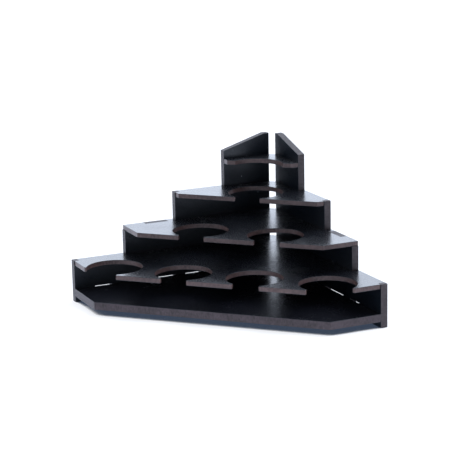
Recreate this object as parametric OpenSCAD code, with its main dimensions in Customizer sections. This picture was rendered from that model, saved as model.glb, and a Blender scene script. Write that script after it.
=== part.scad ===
// Corner paint rack: two side boards at a right angle to each other carry a base, three stepped
// shelves with open-fronted pot holes, and a brace across the top. A pot stands on the plate below
// and passes up through the hole above it.
//
// Frame: +X across the rack, +Y towards the corner at the back, +Z up from the surface it stands on.
// The origin is on that surface, in the middle of the rack's outline. The "corner" is the upright
// line where the outer faces of the two side boards would meet.

/* [Pots] */
// Diameter of the pot holes
pot_hole_d = 36; // [30:0.5:36]
// Width of the open front of a pot hole
mouth_w = 17.3; // [12:0.5:20]
// Distance between neighbouring holes of the lower shelf
lower_pitch = 46.9; // [44:0.1:47.2]
// Distance between the two holes of the middle shelf
middle_pitch = 50.4; // [44:0.1:54]
// Depth from one row of holes to the next
row_pitch = 36; // [36:0.2:37]
// Depth from the corner to the hole of the upper shelf
upper_row_depth = 43; // [42:0.1:44]
// Distance from a hole's centre to the front edge of its shelf
hole_to_front = 17.7; // [17:0.1:18]
// How far in front of an end hole's centre the shelf is cut off
end_cut = 5.4; // [4:0.1:8]

/* [Boards] */
// Thickness of the side boards
side_t = 4.6; // [4:0.1:5.5]
// Thickness of the base
base_t = 5; // [4:0.1:5.5]
// Thickness of the shelves and the brace
shelf_t = 3; // [2.5:0.1:4]

/* [Heights] */
// Free height under the base
base_lift = 3.9; // [3:0.1:8]
// Rise from the base to the lower shelf, and from each shelf to the next
tier_rise = 18.6; // [15:0.1:20]
// Height of the side boards' front edges above the brace
brow_rise = 5.2; // [4:0.1:8]
// Height of the side boards' peaks above the brace
peak_rise = 14.3; // [10:0.1:20]

/* [Side boards] */
// Length from the corner to the front end of a side board
arm_len = 148.4; // [147:0.1:150]
// How far each step is set back behind the one below
step_len = 35.8; // [35.4:0.1:36]
// Distance from the corner to the back edge of a side board
arm_back = 7.7; // [7:0.1:10]
// Length of the level top at the peak
peak_len = 3.5; // [2:0.1:8]
// How far the ends of the shelves stay behind the side boards' front edges
end_setback = 0.5; // [0.1:0.1:1]
// The same for the ends of the brace
brace_setback = 0.1; // [0:0.1:1]

/* [Tabs and slots] */
// Length of the upright tabs at the front corners of the lower and upper shelves
corner_tab_len = 3.4; // [2:0.1:6]
// Length of the upright tabs under the middle shelf
tread_tab_len = 15.8; // [10:0.1:20]
// Distance from the step behind to the tab under the middle shelf
tread_tab_gap = 5.2; // [4:0.1:10]
// Length of the shelves' tabs that sit in the side boards' slots
shelf_tab_len = 14; // [10:0.1:16]
// Clearance round a tab
play = 0.1; // [0.05:0.05:0.2]
// Height of the side boards' windows above the base
window_rise = 0.2; // [0.1:0.05:1]

/* [Hidden] */
$fn = 96;
eps = 0.5;
hole_r = pot_hole_d / 2;

// The base's tabs, and the open windows left in the side boards beside or between them: the start
// and end of each, measured along a side board from the corner. The two sides differ
left_base_tabs = [[45.5, 59.3], [91.6, 102], [107.5, 123]];
left_windows = [[59.3, 70.7], [78.1, 91.6], [123, 134.6]];
right_base_tabs = [[45.5, 71.3], [121.2, 134.9]];
right_windows = [[76.7, 101], [109.7, 121.2]];

// Front ends of the side boards' steps, from the lowest, and top faces of the plates, from the base
step_ends = [for (i = [0:3]) arm_len - i * step_len];
tops = [for (i = [0:4]) base_lift + base_t + i * tier_rise];

// Depths from the corner: hole rows of the three shelves, and front edges of the plates
row_depths = [for (i = [0:2]) upper_row_depth + (2 - i) * row_pitch];
shelf_fronts = [for (d = row_depths) d + hole_to_front];
brace_front = 35.8;
back_cut = (side_t + arm_back) / sqrt(2);

// Where the tabs of the shelves and the brace start and end along a side board, from the lowest
shelf_tab_starts = [82, 46.5, 19.5, 19.5];
function shelf_tab(i) = [shelf_tab_starts[i], shelf_tab_starts[i] + shelf_tab_len];
tread_tab_start = step_ends[2] + tread_tab_gap;

peak_h = tops[4] + peak_rise;
corner_y = (shelf_fronts[0] + arm_back / sqrt(2)) / 2;

// ---------- shared shapes ----------

// Puts an outline drawn from the corner in its place, t thick, with its top face at height top
module plate(top, t) translate([0, corner_y, top - t]) linear_extrude(t) children();

// A shape drawn with its length along the left side board and its depth into the rack's inside,
// and the same on the right
module on_left() rotate(-135) children();
module on_right() mirror([1, 0]) on_left() children();

// Outline of a plate of length reach along both side boards, with a straight front edge. It lies
// between the side boards, and reaches out through or over them only within the stated stretches
module plate_outline(reach, front, left_stretches, right_stretches) difference() {
    intersection() {
        on_left() square(reach);
        translate([-arm_len, -front]) square([2 * arm_len, front - back_cut]);
    }
    on_left() gaps_between(left_stretches, reach);
    on_right() gaps_between(right_stretches, reach);
}

module gaps_between(stretches, reach)
    for (i = [0:len(stretches)]) {
        start = i == 0 ? -eps : stretches[i - 1][1];
        end = i == len(stretches) ? reach + eps : stretches[i][0];
        if (end > start) translate([start, -eps]) square([end - start, side_t + eps]);
    }

// A pot hole at x, with its open front
module pot_hole(x, depth) {
    translate([x, -depth]) circle(hole_r);
    translate([x - mouth_w / 2, -depth - 2 * hole_r]) square([mouth_w, 2 * hole_r]);
}

// A pot hole at the left end of a shelf: the shelf's corner in front of it is cut off
module end_hole(x, depth) {
    translate([x, -depth]) circle(hole_r);
    translate([-arm_len, -depth - 2 * hole_r])
        square([arm_len + x + mouth_w / 2, 2 * hole_r - end_cut]);
}

// ---------- side boards ----------

// Steps, peak, upright tabs, slots and windows, in length and height
module side_outline(base_tabs, windows) {
    difference() {
        union() {
            polygon(concat(
                [[arm_back, 0], [arm_len, 0]],
                [for (i = [0:2], end = [step_ends[i], step_ends[i + 1]]) [end, tops[i + 1] - shelf_t]],
                [[step_ends[3], tops[4] + brow_rise], [arm_back + peak_len, peak_h],
                 [arm_back, peak_h]]));
            for (i = [0, 2])
                upright_tab(step_ends[i] - corner_tab_len, corner_tab_len, tops[i + 1]);
            upright_tab(tread_tab_start, tread_tab_len, tops[2]);
        }
        for (tab = base_tabs) slot(tab, tops[0], base_t);
        for (i = [0:3]) slot(shelf_tab(i), tops[i + 1], shelf_t);
        for (w = windows)
            translate([w[0], base_lift - play])
                square([w[1] - w[0], base_t + play + window_rise]);
    }
}

// Room for a tab t thick, with its top at height top, and play all round it
module slot(tab, top, t)
    translate([tab[0] - play, top - t - play])
        square([tab[1] - tab[0] + 2 * play, t + 2 * play]);

module upright_tab(start, len, top)
    translate([start, top - shelf_t - eps]) square([len, shelf_t + eps]);

module side_board(base_tabs, windows)
    translate([0, corner_y, 0]) rotate(-135) rotate([90, 0, 0])
        translate([0, 0, -side_t]) linear_extrude(side_t) side_outline(base_tabs, windows);

module left_side_board() color("#1d1e22") side_board(left_base_tabs, left_windows);

module right_side_board() color("#1d1e22") mirror([1, 0, 0])
    side_board(right_base_tabs, right_windows);

// ---------- plates ----------

module base_board() color("#17181b") plate(tops[0], base_t)
    plate_outline(arm_len, shelf_fronts[0], left_base_tabs, right_base_tabs);

// Outline of a shelf, counted from 0 for the lower one. It has a tab in a slot behind the next
// step, and lies on the side boards' treads in front of it, within the stretches given
module shelf_outline(i, tread_stretches)
    let (stretches = concat([shelf_tab(i)], tread_stretches))
        plate_outline(step_ends[i] - end_setback, shelf_fronts[i], stretches, stretches);

// The lower and upper shelves lie on their treads up to the upright tab at the front corner
function tread_to_corner(i) = [[step_ends[i + 1] + play, step_ends[i] - corner_tab_len - play]];

module lower_shelf() color("#22242a") plate(tops[1], shelf_t) difference() {
    shelf_outline(0, tread_to_corner(0));
    for (side = [-1, 1]) pot_hole(side * lower_pitch / 2, row_depths[0]);
    end_hole(-1.5 * lower_pitch, row_depths[0]);
    mirror([1, 0]) end_hole(-1.5 * lower_pitch, row_depths[0]);
}

module middle_shelf() color("#22242a") plate(tops[2], shelf_t) difference() {
    shelf_outline(1, [[step_ends[2] + play, tread_tab_start - play],
                      [tread_tab_start + tread_tab_len + play, step_ends[1] + eps]]);
    for (side = [-1, 1]) pot_hole(side * middle_pitch / 2, row_depths[1]);
}

module upper_shelf() color("#22242a") plate(tops[3], shelf_t) difference() {
    shelf_outline(2, tread_to_corner(2));
    pot_hole(0, row_depths[2]);
}

// Ties the side boards together at the top and backs the upper pot with a round cut
module top_brace() color("#22242a") plate(tops[4], shelf_t) difference() {
    plate_outline(step_ends[3] - brace_setback, brace_front, [shelf_tab(3)], [shelf_tab(3)]);
    translate([0, -row_depths[2]]) circle(hole_r);
}

left_side_board();
right_side_board();
base_board();
lower_shelf();
middle_shelf();
upper_shelf();
top_brace();
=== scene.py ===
import math

import bmesh
import bpy
from mathutils import Matrix, Vector


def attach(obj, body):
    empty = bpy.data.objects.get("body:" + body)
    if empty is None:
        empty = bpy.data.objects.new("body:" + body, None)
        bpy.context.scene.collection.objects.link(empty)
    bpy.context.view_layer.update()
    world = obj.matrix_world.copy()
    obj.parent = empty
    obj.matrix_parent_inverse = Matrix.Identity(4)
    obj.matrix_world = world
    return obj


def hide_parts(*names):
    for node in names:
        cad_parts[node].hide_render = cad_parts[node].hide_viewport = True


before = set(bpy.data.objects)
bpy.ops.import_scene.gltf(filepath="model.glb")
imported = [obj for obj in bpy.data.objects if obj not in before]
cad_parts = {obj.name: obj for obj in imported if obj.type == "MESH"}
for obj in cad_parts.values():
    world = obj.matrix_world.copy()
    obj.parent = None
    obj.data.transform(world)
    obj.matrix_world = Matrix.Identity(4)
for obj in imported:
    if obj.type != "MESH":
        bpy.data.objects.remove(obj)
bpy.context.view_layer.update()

MM = 0.001
BODY = "root"

# ---------- the boards ----------

DIAGONAL = math.sqrt(0.5)
LEFT_ACROSS = Vector((DIAGONAL, -DIAGONAL, 0))
RIGHT_ACROSS = Vector((-DIAGONAL, -DIAGONAL, 0))
UPRIGHT = Vector((0, 0, 1))

BOARDS = [
    # node, direction across its faces, material slot
    ("left_side_board", LEFT_ACROSS, "side_board_laminate"),
    ("right_side_board", RIGHT_ACROSS, "side_board_laminate"),
    ("base_board", UPRIGHT, "base_board_laminate"),
    ("lower_shelf", UPRIGHT, "shelf_laminate"),
    ("middle_shelf", UPRIGHT, "shelf_laminate"),
    ("upper_shelf", UPRIGHT, "shelf_laminate"),
    ("top_brace", UPRIGHT, "shelf_laminate"),
]

EDGE_SOFTENING = 0.1 * MM        # width of the slightly worn rims
RIM_ANGLE = math.radians(30)     # edges sharper than this are rims
FLAT_ANGLE = math.radians(0.2)   # edges flatter than this lie within one face
WELD = 0.0001 * MM               # points closer than this are one point
CUT_LIMIT = 0.1                  # share of a cut edge's normal that may point across the board

SKIN = 0.22 * MM                 # thickness of the black laminate on each face
SKIN_BLUR = 0.03 * MM            # how far its inner border is blurred to either side
STREAKING = 0.55                 # how far the fibre is drawn out across the board's thickness
FIBRE_DEPTH = 0.04 * MM

# Fineness of the patterns, per metre
PEBBLES = 1300
DUST = 240
SMUDGES = 38
FIBRES = 1200
SCORCHES = 70

DUST_COLOUR = (0.22, 0.24, 0.26, 1)
SKIN_COLOUR = (0.012, 0.013, 0.016, 1)


# ---------- materials ----------

class Nodes:
    """Short way to add and link the nodes of one material or world."""

    def __init__(self, owner):
        owner.use_nodes = True
        self.tree = owner.node_tree
        self.tree.nodes.clear()

    def add(self, kind, inputs=None, **settings):
        made = self.tree.nodes.new(kind)
        for name, value in settings.items():
            setattr(made, name, value)
        for name, value in (inputs or {}).items():
            self.feed(made.inputs[name], value)
        return made

    def feed(self, socket, value):
        if isinstance(value, bpy.types.NodeSocket):
            self.tree.links.new(value, socket)
        else:
            socket.default_value = value

    def coordinates(self, kind):
        return self.add("ShaderNodeTexCoord").outputs[kind]

    def noise(self, at, scale, detail, roughness):
        return self.add("ShaderNodeTexNoise", {
            "Vector": at, "Scale": scale, "Detail": detail, "Roughness": roughness,
        }).outputs["Fac"]

    def remap(self, value, low, high, to_low=0.0, to_high=1.0, **settings):
        return self.add("ShaderNodeMapRange", {
            "Value": value, "From Min": low, "From Max": high, "To Min": to_low, "To Max": to_high,
        }, **settings).outputs["Result"]

    def mix(self, factor, first, second):
        made = self.add("ShaderNodeMix", data_type="RGBA")
        for index, value in ((0, factor), (6, first), (7, second)):
            self.feed(made.inputs[index], value)
        return made.outputs[2]

    def math(self, operation, *values):
        return self.add("ShaderNodeMath", dict(enumerate(values)), operation=operation).outputs[0]

    def vector(self, operation, output, *values):
        made = self.add("ShaderNodeVectorMath", dict(enumerate(values)), operation=operation)
        return made.outputs[output]

    def scaled(self, direction, factor):
        return self.add("ShaderNodeVectorMath", {0: direction, "Scale": factor},
                        operation="SCALE").outputs[0]

    def bump(self, height, strength, distance):
        return self.add("ShaderNodeBump", {
            "Height": height, "Strength": strength, "Distance": distance,
        }).outputs["Normal"]

    def finish(self, inputs):
        shader = self.add("ShaderNodeBsdfPrincipled", inputs)
        self.add("ShaderNodeOutputMaterial", {"Surface": shader.outputs["BSDF"]})


def laminate(name, colour, dull, gloss, grain, relief):
    """Black melamine face: satin gloss, finely pebbled, with faint smudges and a little dust."""
    material = bpy.data.materials.new(name)
    n = Nodes(material)
    coords = n.coordinates("Object")

    pebbles = n.noise(coords, PEBBLES, 2.0, 0.6)
    darker, lighter = ([c * share for c in colour] + [1] for share in (1 - grain, 1 + grain))
    body = n.mix(n.remap(pebbles, 0.35, 0.65), darker, lighter)

    # Each cell of the dust pattern has a speck in its middle, but only a few are picked to show it,
    # and more of them where the smudges are
    smudges = n.noise(coords, SMUDGES, 2.0, 0.6)
    cells = n.add("ShaderNodeTexVoronoi", {"Vector": coords, "Scale": DUST, "Randomness": 1.0})
    speck = n.remap(cells.outputs["Distance"], 0.04, 0.09, 1.0, 0.0)
    pick = n.add("ShaderNodeSeparateColor", {"Color": cells.outputs["Color"]}).outputs["Red"]
    crowded = n.remap(smudges, 0.45, 0.70, 0.0, 0.10)
    dust = n.math("MULTIPLY", speck, n.remap(n.math("ADD", pick, crowded), 0.92, 1.02))

    n.finish({
        "Base Color": n.mix(dust, body, DUST_COLOUR),
        "Roughness": n.math("ADD", n.remap(pebbles, 0.3, 0.7, dull + 0.04, dull - 0.04),
                            n.remap(smudges, 0.50, 0.70, 0.0, 0.06)),
        "IOR": 1.5,
        "Specular IOR Level": gloss,
        "Normal": n.bump(pebbles, 0.9, relief),
    })
    return material


def fibreboard(name, across, low, high, light, dark, dull, gloss):
    """Laser-cut edge: pressed fibre, browned in streaks, between the laminate's two black skins."""
    material = bpy.data.materials.new(name)
    n = Nodes(material)
    coords = n.coordinates("Object")

    height = n.vector("DOT_PRODUCT", "Value", coords, across)
    from_middle = n.math("ABSOLUTE", n.math("SUBTRACT", height, (low + high) / 2))
    border = (high - low) / 2 - SKIN
    skin = n.remap(from_middle, border - SKIN_BLUR, border + SKIN_BLUR)

    drawn_out = n.scaled(across, n.math("MULTIPLY", height, -STREAKING))
    fibre = n.noise(n.vector("ADD", 0, coords, drawn_out), FIBRES, 3.0, 0.7)
    scorch = n.noise(coords, SCORCHES, 2.0, 0.55)
    tone = n.remap(n.math("ADD", fibre, n.math("MULTIPLY", scorch, 0.5)), 0.55, 0.95)

    n.finish({
        "Base Color": n.mix(skin, n.mix(tone, dark + (1,), light + (1,)), SKIN_COLOUR),
        "Roughness": n.remap(fibre, 0.3, 0.7, dull + 0.06, dull - 0.06),
        "Specular IOR Level": gloss,
        "Normal": n.bump(fibre, 0.5, FIBRE_DEPTH),
    })
    return material


LAMINATES = {
    # slot: name, colour, roughness, gloss, unevenness of the colour, depth of the pebbles
    "side_board_laminate": laminate("side_laminate", (0.0012, 0.0026, 0.0051), 0.31, 0.30, 0.15,
                                    0.009 * MM),
    "base_board_laminate": laminate("base_laminate", (0.0046, 0.0048, 0.0068), 0.21, 0.42, 0.25,
                                    0.05 * MM),
    "shelf_laminate": laminate("shelf_laminate", (0.0036, 0.0041, 0.0056), 0.26, 0.5, 0.25,
                               0.05 * MM),
}
EDGES = {
    # slot: light and dark tone of the cut edge, its roughness, its gloss
    "side_board_laminate": ((0.041, 0.030, 0.031), (0.015, 0.010, 0.010), 0.56, 0.24),
    "base_board_laminate": ((0.052, 0.036, 0.041), (0.013, 0.009, 0.009), 0.58, 0.26),
    "shelf_laminate": ((0.078, 0.047, 0.043), (0.023, 0.012, 0.011), 0.43, 0.25),
}


# ---------- pieces ----------

def board(node, across, slot):
    """A copy of a CAD board with softened rims, laminate on its faces and fibre on its edges."""
    bm = bmesh.new()
    bm.from_mesh(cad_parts[node].data)
    bmesh.ops.remove_doubles(bm, verts=bm.verts, dist=WELD)
    bmesh.ops.dissolve_limit(bm, angle_limit=FLAT_ANGLE, verts=bm.verts, edges=bm.edges)
    heights = [v.co.dot(across) for v in bm.verts]
    rims = [e for e in bm.edges if e.is_manifold and e.calc_face_angle(0) > RIM_ANGLE]
    bmesh.ops.bevel(bm, geom=rims, offset=EDGE_SOFTENING, offset_type="OFFSET", segments=2,
                    profile=0.6, affect="EDGES", clamp_overlap=True)
    bm.normal_update()
    for face in bm.faces:
        face.material_index = 0 if abs(face.normal.dot(across)) > CUT_LIMIT else 1
        face.smooth = True

    mesh = bpy.data.meshes.new(node + "_board")
    bm.to_mesh(mesh)
    bm.free()
    mesh.materials.append(LAMINATES[slot])
    mesh.materials.append(
        fibreboard(node + "_edge", across, min(heights), max(heights), *EDGES[slot]))

    piece = bpy.data.objects.new(node + "_board", mesh)
    bpy.context.scene.collection.objects.link(piece)
    piece.modifiers.new("flat_faces", "WEIGHTED_NORMAL").keep_sharp = True
    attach(piece, BODY)
    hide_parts(node)


for node, across, slot in BOARDS:
    board(node, across, slot)


# ---------- floor and light ----------

FLOOR_HALF = 12.0                       # half its width, in metres
FLOOR_GLOW = (0.76, 0.765, 0.78, 1)     # its own light as the camera sees it
FLOOR_LIGHT = (1.8, 2.0, 2.4, 1)        # and as the rack gets it
FLOOR_WHITE = (0.28, 0.28, 0.28, 1)     # what it throws back of other light
FLOOR_SHADE = (0.042, 0.058, 0.091, 1)  # where the rack stands close over it
SHADE_REACH = 12 * MM
SHADE_RANGE = (0.29, 0.485)             # share of open sky where the shade is full and where it ends
LIGHT_FROM = (-0.32, 0.15, 0.90)        # middle of the open sky that counts for the shade

ROOM = 0.25                             # radiance of the surround where no light is in it
SURROUND = [
    # axis of the direction, its value where the light begins and where it is full, its radiance
    ("Y", -0.10, 0.60, 2.6),            # backdrop behind the rack
    ("Z", 0.45, 0.95, 0.9),             # overhead
    ("X", -0.25, -0.95, 1.68),          # left
    ("X", 0.60, 0.92, 0.45),            # right
]
# A lamp high up behind the rack: the cosine of the angle to it where its light begins and where it
# is full, its radiance, and its direction
SOFTBOX = (0.80, 0.97, 6.5)
SOFTBOX_AT = (0.35, 0.50, 0.80)
LIGHT_COLOUR = (0.91, 1.0, 1.17, 1)


def floor():
    """A pale plane that glows like a light table, with a soft shade close under the rack."""
    material = bpy.data.materials.new("pale_floor")
    n = Nodes(material)
    seen = n.add("ShaderNodeLightPath").outputs["Is Camera Ray"]
    glow = n.mix(seen, FLOOR_LIGHT, FLOOR_GLOW)
    slant = n.add("ShaderNodeCombineXYZ", dict(zip("XYZ", LIGHT_FROM))).outputs["Vector"]
    open_sky = n.add("ShaderNodeAmbientOcclusion", {"Distance": SHADE_REACH, "Normal": slant},
                     samples=16).outputs["AO"]
    lit = n.remap(open_sky, *SHADE_RANGE)
    n.finish({
        "Base Color": n.mix(lit, (0, 0, 0, 1), FLOOR_WHITE),
        "Roughness": 0.9,
        "Specular IOR Level": 0.0,
        "Emission Color": n.mix(lit, FLOOR_SHADE, glow),
        "Emission Strength": 1.0,
    })

    mesh = bpy.data.meshes.new("floor")
    corners = [(x * FLOOR_HALF, y * FLOOR_HALF, 0) for x, y in ((-1, -1), (1, -1), (1, 1), (-1, 1))]
    mesh.from_pydata(corners, [], [(0, 1, 2, 3)])
    mesh.materials.append(material)
    made = bpy.data.objects.new("floor", mesh)
    bpy.context.scene.collection.objects.link(made)


def studio_light():
    """A soft surround: a lit backdrop, a lamp high up behind, light from above and the sides."""
    world = bpy.data.worlds.new("studio")
    bpy.context.scene.world = world
    n = Nodes(world)
    around = n.coordinates("Generated")
    axes = n.add("ShaderNodeSeparateXYZ", {"Vector": around}).outputs

    def light_part(value, begins, full, radiance):
        return n.remap(value, begins, full, 0.0, radiance - ROOM, interpolation_type="SMOOTHSTEP")

    towards_lamp = n.vector("DOT_PRODUCT", "Value", around, Vector(SOFTBOX_AT).normalized())
    brightest = light_part(towards_lamp, *SOFTBOX)
    for axis, begins, full, radiance in SURROUND:
        brightest = n.math("MAXIMUM", brightest, light_part(axes[axis], begins, full, radiance))
    light = n.add("ShaderNodeBackground", {
        "Color": LIGHT_COLOUR, "Strength": n.math("ADD", brightest, ROOM)})
    n.add("ShaderNodeOutputWorld", {"Surface": light.outputs[0]})


floor()
studio_light()


# ---------- camera ----------

def camera(aim, azimuth, elevation, roll, distance, lens):
    """A camera that looks at aim from that distance, turned round the rack and rolled."""
    turn, rise, tilt = (math.radians(v) for v in (azimuth, elevation, roll))
    back = Vector((math.sin(turn) * math.cos(rise), -math.cos(turn) * math.cos(rise), math.sin(rise)))
    level = Vector((math.cos(turn), math.sin(turn), 0))
    up = back.cross(level)
    right = level * math.cos(tilt) + up * math.sin(tilt)
    top = up * math.cos(tilt) - level * math.sin(tilt)
    place = Matrix((right, top, back)).transposed().to_4x4()
    place.translation = aim + back * distance
    data = bpy.data.cameras.new("camera")
    data.sensor_width = 36
    data.lens = lens
    data.clip_start = 0.05
    made = bpy.data.objects.new("camera", data)
    made.matrix_world = place
    bpy.context.scene.collection.objects.link(made)
    bpy.context.scene.camera = made


camera(aim=Vector((-0.00744, 0.00074, 0.04308)), azimuth=20.03, elevation=13.92, roll=-1.12,
       distance=1.1008, lens=132.54)

bpy.context.scene.view_settings.view_transform = "Standard"
